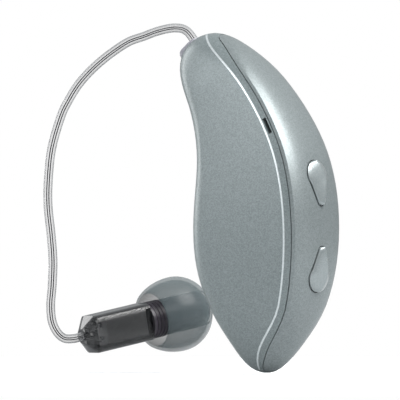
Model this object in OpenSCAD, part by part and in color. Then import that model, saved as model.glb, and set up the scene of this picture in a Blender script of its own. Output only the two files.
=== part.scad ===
// Behind-the-ear hearing aid with its receiver on a formed lead, in millimetres.
// The origin lies on the hollow front of the case, where it rests on the ear.
// +Z is up as worn on a left ear, +X points back to the spine of the case and +Y towards the head.

/* [Case] */
// Height of the case
case_h = 34; // [31:0.5:38]
// Front-to-back reach of the case, lean of the neck included
case_d = 16.7; // [15.5:0.1:19]
// Thickness of the case across its side faces
case_w = 8; // [7.4:0.1:9]
// Wall of the shell and of the spine cover
wall = 0.8; // [0.6:0.05:1]
// Radius of the long corners beside the front face
front_round = 2.1; // [1.4:0.1:2.6]
// Width of the bevel between the side face and the parting line
bevel_w = 0.85; // [0.5:0.05:1.2]
// How far that bevel falls towards the middle of the case
bevel_fall = 0.24; // [0.1:0.02:0.4]
// Rise of the spine cover above the parting line
crown = 0.95; // [0.7:0.05:1.3]
// Width of the parting gap round the spine cover
seam_gap = 0.1; // [0.06:0.02:0.2]

/* [Buttons] */
// Length of each drop-shaped button, as a share of the height of the case
button_l_share = 0.135; // [0.12:0.005:0.15]
// Width of each button at its round end, as a share of the thickness of the case
button_w_share = 0.375; // [0.33:0.005:0.4]
// How far each button stands proud of the spine
button_proud = 0.45; // [0.2:0.05:0.8]
// Travel of each button
button_travel = 0.3; // [0.15:0.05:0.4]

/* [Cell] */
// Diameter of the rechargeable cell, as a share of its room between the charging strips and the switches
cell_d_share = 0.945; // [0.85:0.005:0.99]
// Thickness of the rechargeable cell, as a share of the thickness of the case
cell_t_share = 0.575; // [0.45:0.005:0.6]

/* [Lead] */
// Diameter of the formed lead tube
tube_d = 0.9; // [0.8:0.05:1.1]
// Diameter of the plug where it enters its socket, as a share of the neck it has room in
plug_d_share = 0.1375; // [0.11:0.0025:0.145]
// Length of the plug inside the case, as a share of its height
plug_l_share = 0.13; // [0.11:0.002:0.14]

/* [Receiver] */
// Length of the receiver housing without its nose
receiver_l = 6.6; // [6:0.1:8]
// Height of the receiver housing
receiver_h = 3.8; // [3.4:0.1:4.2]
// Width of the receiver housing
receiver_w = 3; // [2.7:0.1:3.4]
// Diameter of the dome
dome_d = 7.6; // [6.4:0.2:9]
// Length of the dome from its rim to its tip
dome_l = 6.6; // [6:0.1:7.4]

/* [Hidden] */
$fn = 48;
overrun = 1;
// Gap between pieces that are fitted together, and between pieces that slide
fit_gap = 0.03;
slide_gap = 0.06;

// Side view of the case from the bottom tip to the top of the neck, as shares of its reach and height
TIP_SHARES = [0.555, -0.002];
SPINE_SHARES = [[0.68, 0.004], [0.81, 0.068], [0.90, 0.145], [0.97, 0.24], [1.006, 0.345],
    [1.01, 0.455], [0.985, 0.56], [0.925, 0.66], [0.825, 0.75], [0.69, 0.84], [0.54, 0.915],
    [0.40, 0.968], [0.28, 0.998]];
FRONT_SHARES = [[0.44, 0.022], [0.345, 0.088], [0.262, 0.16], [0.188, 0.24], [0.145, 0.325],
    [0.135, 0.42], [0.15, 0.515], [0.168, 0.605], [0.148, 0.69], [0.092, 0.77], [0.01, 0.845],
    [-0.04, 0.905], [-0.005, 0.962]];
NECK_SHARES = [0.14, 1.005];
// Half width of the case at the same places, as shares of half its thickness
WIDTH_SHARES = [0.26, 0.56, 0.76, 0.90, 0.98, 1.01, 1.01, 0.98, 0.93, 0.86, 0.77, 0.66, 0.5];

reach = len(SPINE_SHARES) + 1;
function unit(v) = v / norm(v);
function scaled(s) = [s[0] * case_d, s[1] * case_h];
function outline_knot(i) =
    let (k = abs(i) > reach ? 2 * reach - abs(i) : abs(i), spine = (i > 0) == (abs(i) <= reach))
    k == 0 ? scaled(TIP_SHARES) : k == reach ? scaled(NECK_SHARES)
    : scaled(spine ? SPINE_SHARES[k - 1] : FRONT_SHARES[k - 1]);
function width_knot(i) =
    i < 0 ? -width_knot(-i) : i > reach ? -width_knot(2 * reach - i)
    : i == 0 || i == reach ? 0 : WIDTH_SHARES[i - 1] * case_w / 2;
// Uniform cubic B-spline over four neighbouring knots, at share u of the middle span
function spline(a, b, c, d, u) =
    (pow(1 - u, 3) * a + (3 * pow(u, 3) - 6 * pow(u, 2) + 4) * b
    + (-3 * pow(u, 3) + 3 * pow(u, 2) + 3 * u + 1) * c + pow(u, 3) * d) / 6;
function raw_outline(t) =
    let (i = floor(t), u = t - i)
    spline(outline_knot(i - 1), outline_knot(i), outline_knot(i + 1), outline_knot(i + 2), u);
function half_width(t) =
    let (i = floor(t), u = t - i)
    max(0, spline(width_knot(i - 1), width_knot(i), width_knot(i + 1), width_knot(i + 2), u));

STATIONS = 44;
rest_t = reach * 27 / STATIONS;
rest = raw_outline(-rest_t);
// Spine side at +t and front side at -t, measured from the ear rest
function outline(t) = raw_outline(t) - rest;
function depth(t) = norm(raw_outline(t) - raw_outline(-t));
function along(t) = (raw_outline(t) - raw_outline(-t)) / depth(t);
function chord(t, from_front) = outline(-t) + along(t) * from_front;
function chord_angle(t) = let (a = along(t)) atan2(a[1], a[0]);

// Half of one section, from the front to the spine, as [depth, half width]
FRONT_STEPS = 2;
ROUND_STEPS = 5;
SIDE_STEPS = 4;
CROWN_STEPS = 5;
ROUND_AT = FRONT_STEPS + ROUND_STEPS;
EDGE_AT = ROUND_AT + SIDE_STEPS;
SEAM_AT = EDGE_AT + 2;
HALF = SEAM_AT + CROWN_STEPS;
front_bow_share = 0.12;
corner_share = 0.62;
bevel_mid_share = 0.45;
bevel_mid_fall_share = 0.35;
crown_power_share = 0.85;
function corner(w) = min(front_round, corner_share * w);
function plain_point(d, w, k) =
    let (r = corner(w), bow = front_bow_share * r, seam = d - crown, edge = seam - bevel_w)
    k <= FRONT_STEPS ? [bow * pow(k / FRONT_STEPS, 2), (w - r) * k / FRONT_STEPS]
    : k <= ROUND_AT ? let (a = 90 * (k - FRONT_STEPS) / ROUND_STEPS)
        [bow + r * (1 - cos(a)), w - r + r * sin(a)]
    : k <= EDGE_AT ? [bow + r + (edge - bow - r) * (k - ROUND_AT) / SIDE_STEPS, w]
    : k == EDGE_AT + 1 ? [edge + bevel_w * bevel_mid_share, w - bevel_fall * bevel_mid_fall_share]
    : k == SEAM_AT ? [seam, w - bevel_fall]
    : let (a = 90 * (k - SEAM_AT) / CROWN_STEPS)
    [seam + crown * sin(a), (w - bevel_fall) * pow(max(0, cos(a)), crown_power_share)];
function round_point(d, w, k, seam_turn) =
    let (a = k < ROUND_AT ? corner_turn * k / ROUND_AT
        : k < SEAM_AT ? corner_turn + (seam_turn - corner_turn) * (k - ROUND_AT) / (SEAM_AT - ROUND_AT)
        : seam_turn + (180 - seam_turn) * (k - SEAM_AT) / CROWN_STEPS)
    [d / 2 * (1 - cos(a)), w * sin(a)];
// Angles of the front corner and of the parting line round the sections of the two ends
corner_turn = 62;
tip_seam_turn = 112;
neck_seam_turn = 146;
// Share of the full section at t: the bevel fades out towards both ends of the case
fade_from = 0.8;
fade_to = 3.6;
function fullness(t) =
    let (n = (min(t, reach - t) - fade_from) / (fade_to - fade_from))
    n <= 0 ? 0 : n >= 1 ? 1 : (1 - cos(180 * n)) / 2;
function section_point(t, inset, k) =
    let (d = depth(t) - 2 * inset, w = half_width(t) - inset, b = fullness(t))
    let (turn = t < reach / 2 ? tip_seam_turn : neck_seam_turn)
    (1 - b) * round_point(d, w, k, turn) + b * plain_point(d, w, k);
function ring_point(t, inset, k, side) =
    let (h = section_point(t, inset, k), p = chord(t, inset + h[0])) [p[0], side * h[1], p[1]];
function ring(t, inset) =
    concat([for (k = [0:HALF]) ring_point(t, inset, k, -1)],
        [for (k = [HALF - 1:-1:1]) ring_point(t, inset, k, 1)]);

// Closed skin over a run of rings of equal count, with a flat face on each end
module skin(rings) {
    n = len(rings[0]);
    last = len(rings) - 1;
    sides = [for (i = [0:last - 1], j = [0:n - 1])
        let (a = i * n + j, b = i * n + (j + 1) % n) each [[a, b + n, b], [a, a + n, b + n]]];
    polyhedron([for (r = rings) each r],
        concat([[for (j = [0:n - 1]) j]], sides, [[for (j = [n - 1:-1:0]) last * n + j]]));
}
end_t = 0.12;
module case_form() {
    skin([for (i = [0:STATIONS]) ring(end_t + (reach - 2 * end_t) * i / STATIONS, 0)]);
}
CAVITY_STATIONS = 22;
cavity_low = 1.4;
cavity_high = reach - 0.9;
function every_other(r) = [for (i = [0:2:len(r) - 1]) r[i]];
module cavity_form() {
    skin([for (i = [0:CAVITY_STATIONS])
        every_other(ring(cavity_low + (cavity_high - cavity_low) * i / CAVITY_STATIONS, wall))]);
}
// The spine side of the same form, closed flat across the case inside its edges
function spine_part(r) = [for (k = [EDGE_AT:len(r) - EDGE_AT]) r[k]];
module spine_form() {
    skin([for (i = [0:STATIONS]) spine_part(ring(end_t + (reach - 2 * end_t) * i / STATIONS, 0))]);
}
module spine_cavity_form() {
    skin([for (i = [0:CAVITY_STATIONS])
        spine_part(ring(cavity_low + (cavity_high - cavity_low) * i / CAVITY_STATIONS, wall))]);
}

// Side view of what lies behind the parting line, with its ends rounded into the outline
cover_low = 0.55;
cover_high = reach - 0.95;
cover_corner = 0.5;
REGION_STEPS = 44;
function seam_depth(t) = depth(t) - section_point(t, 0, SEAM_AT)[0];
function past_end(t) = max(cover_low + cover_corner - t, t - cover_high + cover_corner, 0) / cover_corner;
function end_rounding(t) = let (u = past_end(t)) sqrt(max(0, 1 - u * u));
module cover_region(grow) {
    mean_step = norm(outline(reach - 1) - outline(1)) / (reach - 2);
    low = cover_low - grow / mean_step;
    high = cover_high + grow / mean_step;
    ts = [for (i = [0:REGION_STEPS]) low + (high - low) * (1 - cos(180 * i / REGION_STEPS)) / 2];
    inner = [for (t = ts) chord(t, depth(t) - seam_depth(t) * end_rounding(t) - grow)];
    outer = [for (i = [REGION_STEPS:-1:0]) chord(ts[i], depth(ts[i]) + overrun)];
    rotate([90, 0, 0]) linear_extrude(case_w + 2 * overrun, center = true) polygon(concat(inner, outer));
}

// Children in the frame of a section: +X points out of the spine, from a point on the chord
module at_section(t, from_front) {
    p = chord(t, from_front);
    translate([p[0], 0, p[1]]) rotate([0, -chord_angle(t), 0]) children();
}
// Small step along the outline, for its direction
dt = 0.1;
function spine_dir(t) = unit(outline(t + dt) - outline(t - dt));
function under_spine(t, drop) = let (v = spine_dir(t)) outline(t) + [-v[1], v[0]] * drop;
function front_dir(t) = unit(outline(-t - dt) - outline(dt - t));
function under_front(t, drop) = let (v = front_dir(t)) outline(-t) + [v[1], -v[0]] * drop;
// Children in the frame of the front: +X points straight into the case and +Z runs up along it
module at_front(t) {
    p = outline(-t);
    v = front_dir(t);
    translate([p[0], 0, p[1]]) rotate([0, atan2(v[0], v[1]), 0]) children();
}
// Children in the frame of the spine: +X points straight out of it and +Z runs up along it
module at_spine(t) {
    p = outline(t);
    v = spine_dir(t);
    translate([p[0], 0, p[1]]) rotate([0, atan2(v[0], v[1]), 0]) children();
}
// Children in the side view's frame of the parting line: +Z runs up along it
function seam_point(t) = chord(t, section_point(t, 0, SEAM_AT)[0]);
module at_seam(t) {
    p = seam_point(t);
    v = seam_point(t + dt) - seam_point(t - dt);
    translate([p[0], 0, p[1]]) rotate([0, atan2(v[0], v[1]), 0]) children();
}
// A flat outline drawn in Y and Z and raised along +X
module raised(h) {
    rotate([90, 0, 90]) linear_extrude(h) children();
}
// A flat outline drawn in the side view, centred across the case
module side_plate(t) {
    rotate([90, 0, 0]) linear_extrude(t, center = true) children();
}
// Side views of bands that follow the spine or the front, from one depth under it to another
module spine_band(t_from, t_to, depth_from, depth_to) {
    steps = 16;
    ts = [for (i = [0:steps]) t_from + (t_to - t_from) * i / steps];
    polygon(concat([for (t = ts) under_spine(t, depth_from)],
        [for (i = [steps:-1:0]) under_spine(ts[i], depth_to)]));
}
module front_band(t_from, t_to, depth_from, depth_to) {
    steps = 12;
    ts = [for (i = [0:steps]) t_from + (t_to - t_from) * i / steps];
    polygon(concat([for (t = ts) under_front(t, depth_from)],
        [for (i = [steps:-1:0]) under_front(ts[i], depth_to)]));
}

// Buttons: where they stand along the spine, and how they stack up under it
button_l = case_h * button_l_share;
button_w = case_w * button_w_share;
upper_t = 7.0;
lower_t = 4.62;
tip_r = 0.55;
button_gap = 0.08;
flange_lip = 0.28;
flange_t = 0.3;
flange_under = 0.48;
flange_drop = wall + flange_under;
stem_d = 1.2;
stem_l = 0.85;
stem_end = flange_drop + flange_t + stem_l;
plunger_h = 0.2;
switch_h = 0.8;
switch_w = 2.2;
switch_l = 2.6;
switch_top = stem_end + button_travel + slide_gap;
rail_depth = switch_top + plunger_h + switch_h + fit_gap;
rail_t = 0.7;
rail_w = 3.2;

// Outline of a drop: a round end and a narrow end joined by their shared tangents
module drop(grow) {
    r = button_w / 2 + grow;
    tip = tip_r + grow;
    top = button_l / 2 - button_w / 2;
    low = tip_r - button_l / 2;
    a = asin((r - tip) / (top - low));
    translate([0, top]) circle(r);
    translate([0, low]) circle(tip);
    polygon([[r * cos(a), top - r * sin(a)], [tip * cos(a), low - tip * sin(a)],
        [-tip * cos(a), low - tip * sin(a)], [-r * cos(a), top - r * sin(a)]]);
}
module for_button(t, flip) {
    at_spine(t) mirror([0, 0, flip ? 1 : 0]) children();
}
crown_start = 0.1;
crown_step = 0.03;
ridge_w = 0.16;
shoulder_share = 0.6;
DROP_SIDES = 32;
module button(t, flip) {
    color("lightsteelblue") for_button(t, flip) {
        translate([-flange_drop, 0, 0]) raised(flange_drop - crown_start) drop(0);
        hull() {
            translate([-crown_start, 0, 0]) raised(crown_start / 2) drop(-crown_step, $fn = DROP_SIDES);
            raised(button_proud * shoulder_share) drop(-button_w / 8, $fn = DROP_SIDES);
            raised(button_proud) square([ridge_w, button_l * shoulder_share], center = true);
        }
        translate([-flange_drop - flange_t, 0, 0]) raised(flange_t) drop(flange_lip);
        translate([-stem_end, 0, 0]) raised(stem_l) circle(d = stem_d);
    }
}
module upper_button() {
    button(upper_t, false);
}
module lower_button() {
    button(lower_t, true);
}
module button_well(t, flip) {
    for_button(t, flip) translate([-2 * flange_drop, 0, 0]) raised(4 * flange_drop) drop(button_gap);
}
seal_lip = 0.42;
seal_rim = 0.25;
seal_t = 0.2;
seal_drop = flange_drop + flange_t + button_travel + slide_gap;
seal_top_share = 0.75;
seal_top = wall + crown * seal_top_share;
module button_seal(t, flip) {
    color("dimgray") for_button(t, flip) {
        translate([-seal_drop, 0, 0]) raised(seal_drop - seal_top) difference() {
            drop(seal_lip + seal_rim);
            drop(seal_lip);
        }
        translate([-seal_drop - seal_t, 0, 0]) raised(seal_t) difference() {
            drop(seal_lip + seal_rim);
            circle(d = stem_d + 2 * slide_gap);
        }
    }
}
module upper_button_seal() {
    button_seal(upper_t, false);
}
module lower_button_seal() {
    button_seal(lower_t, true);
}
module button_switch(t) {
    color("silver") at_spine(t) {
        translate([-switch_top - plunger_h, 0, 0]) raised(plunger_h) circle(d = stem_d + plunger_h);
        translate([-switch_top - plunger_h - switch_h, 0, 0]) raised(switch_h)
            square([switch_w, switch_l], center = true);
    }
}
module upper_switch() {
    button_switch(upper_t);
}
module lower_switch() {
    button_switch(lower_t);
}

// Microphones: the front one hears through the slots beside the parting line
front_mic_t = 8.86;
rear_mic_t = 5.84;
slot_l = 1.75;
slot_w = 0.4;
boot_under = 0.55;
boot_top = wall + boot_under;
boot_t = 1.1;
boot_l_share = 0.062;
boot_l = case_h * boot_l_share;
mic_bore = 0.7;
boot_short = 2.1;
front_boot_w = case_w - 2 * wall - boot_short;
rear_boot_w = 2.2;
screen_t = 0.12;
mic_l = 2.6;
mic_w = 2.5;
mic_h = rail_depth - boot_top - boot_t - 2 * fit_gap;
module mic_slots() {
    at_seam(front_mic_t) translate([-bevel_w / 2, 0, 0])
        cube([slot_w, case_w + 2 * overrun, slot_l], center = true);
}
module front_mic_boot() {
    color("darkslategray") at_spine(front_mic_t) translate([-boot_top - boot_t / 2, 0, 0]) difference() {
        cube([boot_t, front_boot_w, boot_l], center = true);
        rotate([90, 0, 0]) cylinder(h = front_boot_w + 2 * overrun, d = mic_bore, center = true);
        rotate([0, -90, 0]) cylinder(h = boot_t, d = mic_bore);
    }
}
module rear_mic_boot() {
    color("darkslategray") at_spine(rear_mic_t) translate([-boot_top - boot_t / 2, 0, 0]) difference() {
        cube([boot_t, rear_boot_w, boot_l - seal_lip - seal_rim], center = true);
        rotate([0, 90, 0]) cylinder(h = boot_t + 2 * overrun, d = mic_bore, center = true);
    }
}
module mic_screens() {
    color("gray") at_spine(front_mic_t) for (side = [-1, 1])
        translate([-boot_top - boot_t / 2, side * (front_boot_w + screen_t) / 2, 0])
            cube([boot_t, screen_t, boot_l], center = true);
}
module microphone(t) {
    color("gainsboro") at_spine(t) translate([-boot_top - boot_t - fit_gap - mic_h, 0, 0]) difference() {
        raised(mic_h) square([mic_w, mic_l], center = true);
        translate([mic_h / 2, 0, 0]) raised(mic_h) circle(d = mic_bore);
    }
}
module front_microphone() {
    microphone(front_mic_t);
}
module rear_microphone() {
    microphone(rear_mic_t);
}

// The cell lies across the case in the ring of the chassis
cell_at = 4.8;
ring_t = 0.45;
strip_t = 0.12;
strip_gap = 0.2;
strip_under = 0.32;
strip_depth = wall + strip_under;
cell_gap = 0.08;
cell_front = strip_depth + strip_t + strip_gap + ring_t + cell_gap;
cell_room = depth(cell_at) - cell_front - rail_depth - cell_gap;
cell_rise_share = 0.2425;
cell_d = min(cell_room, case_h * cell_rise_share) * cell_d_share;
cell_t = case_w * cell_t_share;
cell_from_front = cell_front + cell_d / 2;
ring_short = 0.6;
ring_w = cell_t - ring_short;
cell_edge = 0.35;
pole_h = 0.15;
module battery_cell() {
    color("silver") at_section(cell_at, cell_from_front) rotate([90, 0, 0]) translate([0, 0, -cell_t / 2])
        rotate_extrude() {
            square([cell_d / 2 - cell_edge, cell_t]);
            translate([0, cell_edge]) square([cell_d / 2, cell_t - 2 * cell_edge]);
            for (h = [cell_edge, cell_t - cell_edge])
                translate([cell_d / 2 - cell_edge, h]) circle(cell_edge);
        }
}
tab_w = cell_d / 3;
tab_over_share = 0.044;
tab_over = case_h * tab_over_share;
tab_rise = cell_d / 2 + ring_t + tab_over;
module battery_tabs() {
    color("lightgray") at_section(cell_at, cell_from_front) for (side = [-1, 1]) scale([1, side, 1]) {
        translate([-tab_w / 2, cell_t / 2, -cell_d / 4]) cube([tab_w, strip_t, cell_d / 4 + tab_rise]);
        translate([-tab_w / 2, board_t / 2, tab_rise - strip_t])
            cube([tab_w, (cell_t - board_t) / 2, strip_t]);
    }
}

// The chassis: a ring for the cell, a rail behind the switches and a cradle for the lead socket
rail_low = 3.7;
rail_high = 10.5;
cradle_l_share = 0.053;
cradle_l = case_h * cradle_l_share;
module chassis() {
    color("dimgray") difference() {
        union() {
            side_plate(rail_w) spine_band(rail_low, rail_high, rail_depth, rail_depth + rail_t);
            at_section(cell_at, cell_from_front) rotate([90, 0, 0])
                cylinder(h = ring_w, r = cell_d / 2 + cell_gap + ring_t, center = true);
            at_cap() translate([0, 0, -socket_end]) cylinder(h = cradle_l, r = socket_r + fit_gap + ring_t);
        }
        at_section(cell_at, cell_from_front) rotate([90, 0, 0])
            cylinder(h = case_w, r = cell_d / 2 + cell_gap, center = true);
        at_cap() translate([0, 0, -socket_end - overrun])
            cylinder(h = socket_end + overrun, r = socket_r + fit_gap);
        for (t = [upper_t, lower_t]) at_spine(t) translate([-rail_depth, 0, 0]) raised(rail_depth)
            square([switch_w + 2 * fit_gap, switch_l + 2 * fit_gap], center = true);
    }
}

// The circuit board stands in the middle of the case, over the cell
board_low = 6.55;
board_high = 8.6;
board_t = 0.4;
board_inset = strip_depth + strip_t + strip_gap;
chip_h = 0.8;
// Places on the board, as a station along the case and a share of its depth there
processor_at = [7.85, 0.5];
PROCESSOR_SHARES = [0.106, 0.094];
processor_size = [case_h * PROCESSOR_SHARES[0], case_h * PROCESSOR_SHARES[1], chip_h];
radio_at = [7.4, 0.46];
RADIO_SHARES = [0.076, 0.07];
radio_size = [case_h * RADIO_SHARES[0], case_h * RADIO_SHARES[1], chip_h];
row_at = [6.75, 0.82];
row_lean = 0.06;
row_pitch = 0.8;
column_at = [8.3, 0.25];
small_size = [1, 0.5, 0.5];
BOARD_STEPS = 8;
function board_point(t, share) =
    let (a = chord(t, board_inset), b = under_spine(t, rail_depth + rail_t + fit_gap)) a + (b - a) * share;
module on_board(place, side) {
    p = board_point(place[0], place[1]);
    translate([p[0], side * board_t / 2, p[1]]) rotate([0, -chord_angle(place[0]), 0]) scale([1, side, 1])
        children();
}
module board_block(size) {
    translate([-size[0] / 2, 0, -size[1] / 2]) cube([size[0], size[2], size[1]]);
}
module circuit_board() {
    ts = [for (i = [0:BOARD_STEPS]) board_low + (board_high - board_low) * i / BOARD_STEPS];
    color("darkgreen") side_plate(board_t) polygon(concat([for (t = ts) board_point(t, 0)],
        [for (i = [BOARD_STEPS:-1:0]) board_point(ts[i], 1)]));
}
module signal_processor() {
    color("black") on_board(processor_at, -1) board_block(processor_size);
}
module radio_chip() {
    color("black") on_board(radio_at, 1) board_block(radio_size);
}
module chip_parts() {
    color("tan") {
        for (row = [0:2], side = [-1, 1]) on_board(row_at + [row_lean * side, 0], side)
            translate([0, 0, row * row_pitch]) board_block(small_size);
        for (column = [0:2]) on_board(column_at + [0, column_at[1] * column], 1)
            board_block([small_size[1], small_size[0], small_size[2]]);
    }
}
coil_t = 9.65;
coil_l_share = 0.094;
coil_l = case_h * coil_l_share;
coil_gap = 0.16;
coil_d_share = 0.078;
coil_d = case_d * coil_d_share;
module telecoil() {
    color("sienna") at_spine(coil_t) translate([-rail_depth - rail_t - coil_d / 2 - coil_gap, 0, 0])
        cylinder(h = coil_l, d = coil_d, center = true);
}
antenna_under = 0.38;
antenna_depth = wall + antenna_under;
antenna_w = 1.8;
antenna_from = 9.9;
antenna_to = 12.2;
module antenna() {
    color("goldenrod") side_plate(antenna_w)
        spine_band(antenna_from, antenna_to, antenna_depth, antenna_depth + strip_t);
}

// Charging pins in the lower front of the shell, and the strips that lead from them
pin_ts = [3.35, 4.3];
pin_d = 1.7;
pin_l = strip_depth - fit_gap;
strip_w = 0.9;
strips_to = 6.9;
module charge_contacts() {
    color("gold") for (t = pin_ts) at_front(t) rotate([0, 90, 0]) cylinder(h = pin_l, d = pin_d);
}
module pin_bores() {
    for (t = pin_ts) at_front(t) translate([-overrun, 0, 0]) rotate([0, 90, 0])
        cylinder(h = 3 * overrun, d = pin_d + 2 * fit_gap);
}
module charge_strips() {
    color("goldenrod") for (i = [0, 1]) translate([0, (i * 2 - 1) * (strip_w + strip_gap) / 2, 0])
        side_plate(strip_w) front_band(pin_ts[i], strips_to, strip_depth, strip_depth + strip_t);
}

// One flat loop of gasket, held in the parting gap inside its edge
gasket_play = 0.025;
gasket_h = seam_gap - 2 * gasket_play;
gasket_t = 0.6;
gasket_edge = 0.5;
gasket_in = 0.25;
gasket_low = cover_low + cover_corner + gasket_in;
gasket_high = cover_high - cover_corner - gasket_in;
GASKET_STEPS = 36;
function gasket_ring(t, side, turn) =
    let (q = section_point(t, 0, SEAM_AT), up = unit(seam_point(t + dt) - seam_point(t - dt)) * turn,
        half_w = q[1] - gasket_edge - gasket_t / 2)
    [for (c = [[-1, -1], [-1, 1], [1, 1], [1, -1]])
        let (p = chord(t, q[0] - seam_gap / 2 + c[0] * gasket_h / 2) + up * c[1] * gasket_t / 2)
        [p[0], side * (half_w - c[1] * gasket_t / 2), p[1]]];
module seam_gasket() {
    ts = [for (i = [0:GASKET_STEPS]) gasket_low + (gasket_high - gasket_low) * i / GASKET_STEPS];
    near = [for (i = [0:GASKET_STEPS]) gasket_ring(ts[i], -1, i == 0 ? 1 : i == GASKET_STEPS ? -1 : 0)];
    far = [for (i = [GASKET_STEPS:-1:0]) gasket_ring(ts[i], 1, i == 0 ? 1 : i == GASKET_STEPS ? -1 : 0)];
    rings = concat(near, far);
    n = len(rings);
    color("black") polyhedron([for (r = rings) each r], [for (i = [0:n - 1], j = [0:3])
        let (next = (i + 1) % n, k = (j + 1) % 4, a = i * 4 + j, b = i * 4 + k, c = next * 4 + j)
        let (d = next * 4 + k) each [[a, b, d], [a, d, c]]]);
}

// The lead leaves the neck along its first step and runs into the receiver along its last.
// Places are measured from where it leaves the plug cap.
ROUTE = [[0, 0, 0], [-0.5, 0, 0.6], [-1.1, 0, 1.1], [-1.9, 0, 1.35], [-3, -0.2, 1.35],
    [-4.5, -0.4, 1.05], [-6.1, -0.6, 0.55], [-7.8, -0.9, 0], [-9.9, -1.2, -1.2], [-11.8, -1.5, -2.6],
    [-13.5, -1.7, -4.2], [-14.7, -1.9, -5.9], [-15.5, -2.1, -7.5], [-16.4, -2.4, -10.6],
    [-16.6, -2.7, -13.6], [-16.5, -2.9, -16.3], [-16, -3, -19.5], [-15.7, -3.1, -22],
    [-15.8, -3.1, -24.4], [-16, -3.1, -26.4], [-15.9, -3, -28],
    [-15.6, -2.6, -29.1], [-15.3, -1.8, -29.75], [-14.9, -0.8, -29.8], [-14.6, 0.2, -29.6]];
EXIT_SHARES = [0.044, 0.975];
lead_exit = scaled(EXIT_SHARES) - rest;
function wrapped(i) = max(0, min(len(ROUTE) - 1, i));
lead_out = unit(ROUTE[1] - ROUTE[0]);
lead_in = unit(ROUTE[len(ROUTE) - 1] - ROUTE[len(ROUTE) - 2]);
receiver_start = [lead_exit[0], 0, lead_exit[1]] + ROUTE[len(ROUTE) - 1];
module at_plug() {
    translate([lead_exit[0], 0, lead_exit[1]]) rotate([0, atan2(lead_out[0], lead_out[2]), 0]) children();
}
module at_cap() {
    at_plug() translate([-cap_shift, 0, 0]) children();
}
// Children in the frame of the receiver: +Z runs into the ear canal and +X faces back
module at_receiver() {
    translate(receiver_start)
        rotate([-acos(lead_in[2]), 0, -atan2(lead_in[0], lead_in[1])]) children();
}
// A curve through the route, at share u of the step from i to i + 1
function route_at(i, u) =
    let (a = ROUTE[wrapped(i - 1)], b = ROUTE[i], c = ROUTE[wrapped(i + 1)], d = ROUTE[wrapped(i + 2)])
    b + 0.5 * u * (c - a + u * (2 * a - 5 * b + 4 * c - d + u * (3 * (b - c) + d - a)));
ROUTE_STEPS = 2;
LEAD_SIDES = 8;
lead_points = concat([for (i = [0:len(ROUTE) - 2], k = [0:ROUTE_STEPS - 1]) route_at(i, k / ROUTE_STEPS)],
    [ROUTE[len(ROUTE) - 1]]);
side_hint = [0.6, -0.6, 0.5];
function lead_dir(i) = i == 0 ? lead_out : i == len(lead_points) - 1 ? lead_in
    : unit(lead_points[i + 1] - lead_points[i - 1]);
function lead_ring(i, off, r, sides) =
    let (n = unit(cross(lead_dir(i), side_hint)), m = cross(lead_dir(i), n),
        o = [lead_exit[0], 0, lead_exit[1]] + lead_points[i] + off * n)
    [for (j = [0:sides - 1]) o + r * (cos(360 * j / sides) * n + sin(360 * j / sides) * m)];
bore_share = 0.66;
wire_share = 0.22;
wire_apart_share = 0.62;
tube_bore = tube_d * bore_share;
wire_d = tube_d * wire_share;
wire_off = wire_d * wire_apart_share;
module lead_tube() {
    n = len(lead_points);
    s = LEAD_SIDES;
    outer = [for (i = [0:n - 1]) each lead_ring(i, 0, tube_d / 2, s)];
    inner = [for (i = [0:n - 1]) each lead_ring(i, 0, tube_bore / 2, s)];
    walls = [for (i = [0:n - 2], j = [0:s - 1])
        let (a = i * s + j, b = i * s + (j + 1) % s, o = n * s)
        each [[a, b + s, b], [a, a + s, b + s], [a + o, b + o, b + s + o], [a + o, b + s + o, a + s + o]]];
    ends = [for (j = [0:s - 1]) let (k = (j + 1) % s, o = n * s, l = (n - 1) * s)
        each [[j, k, k + o], [j, k + o, j + o], [l + j, l + k + o, l + k], [l + j, l + j + o, l + k + o]]];
    color("whitesmoke") polyhedron(concat(outer, inner), concat(walls, ends));
}
module lead_wires() {
    color("dimgray") for (side = [-1, 1])
        skin([for (i = [0:len(lead_points) - 1]) lead_ring(i, side * wire_off, wire_d / 2, 4)]);
}

// Plug, socket and cap, in the frame of the plug with the cap's face at its origin
plug_d = min(case_d, 2 * case_w) * plug_d_share;
plug_l = case_h * plug_l_share;
cap_w = plug_d;
cap_l_share = 1.36;
cap_l = plug_d * cap_l_share;
cap_t = 0.5;
cap_edge = 0.2;
// The plug and the cap lie lower on the neck's end face than the tube does
cap_shift = 0.7;
plug_neck_share = 0.056;
plug_neck = case_h * plug_neck_share;
socket_wall = 0.38;
socket_r = plug_d / 2 + socket_wall;
socket_end = cap_t + plug_neck + plug_l;
CONTACTS = 3;
contact_l = 0.5;
contact_pitch = plug_l / (CONTACTS + 1);
contact_depth = 0.15;
leaf_w = 0.7;
module cap_outline(grow) {
    for (x = [-1, 1]) translate([x * (cap_l - cap_w) / 2, 0]) circle(d = cap_w + 2 * grow);
    square([cap_l - cap_w, cap_w + 2 * grow], center = true);
}
module plug_cap() {
    color("lightslategray") at_cap() translate([0, 0, -cap_t]) {
        linear_extrude(cap_t - cap_edge) cap_outline(0);
        translate([0, 0, cap_t - cap_edge]) linear_extrude(cap_edge) cap_outline(-cap_edge / 2);
    }
}
module at_contacts() {
    for (i = [1:CONTACTS]) translate([0, 0, -socket_end + i * contact_pitch - contact_l / 2]) children();
}
module contact_ring() {
    difference() {
        cylinder(h = contact_l, d = plug_d);
        translate([0, 0, -overrun]) cylinder(h = contact_l + 2 * overrun, d = plug_d - 2 * contact_depth);
    }
}
module lead_plug() {
    color("lavender") at_cap() difference() {
        translate([0, 0, -socket_end + fit_gap]) cylinder(h = socket_end - cap_t - fit_gap, d = plug_d);
        at_contacts() contact_ring();
    }
}
module plug_contacts() {
    color("gold") at_cap() at_contacts() contact_ring();
}
module leaf_slot(grow) {
    translate([0, -leaf_w / 2 - grow, -grow]) cube([2 * socket_r, leaf_w + 2 * grow, contact_l + 2 * grow]);
}
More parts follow.
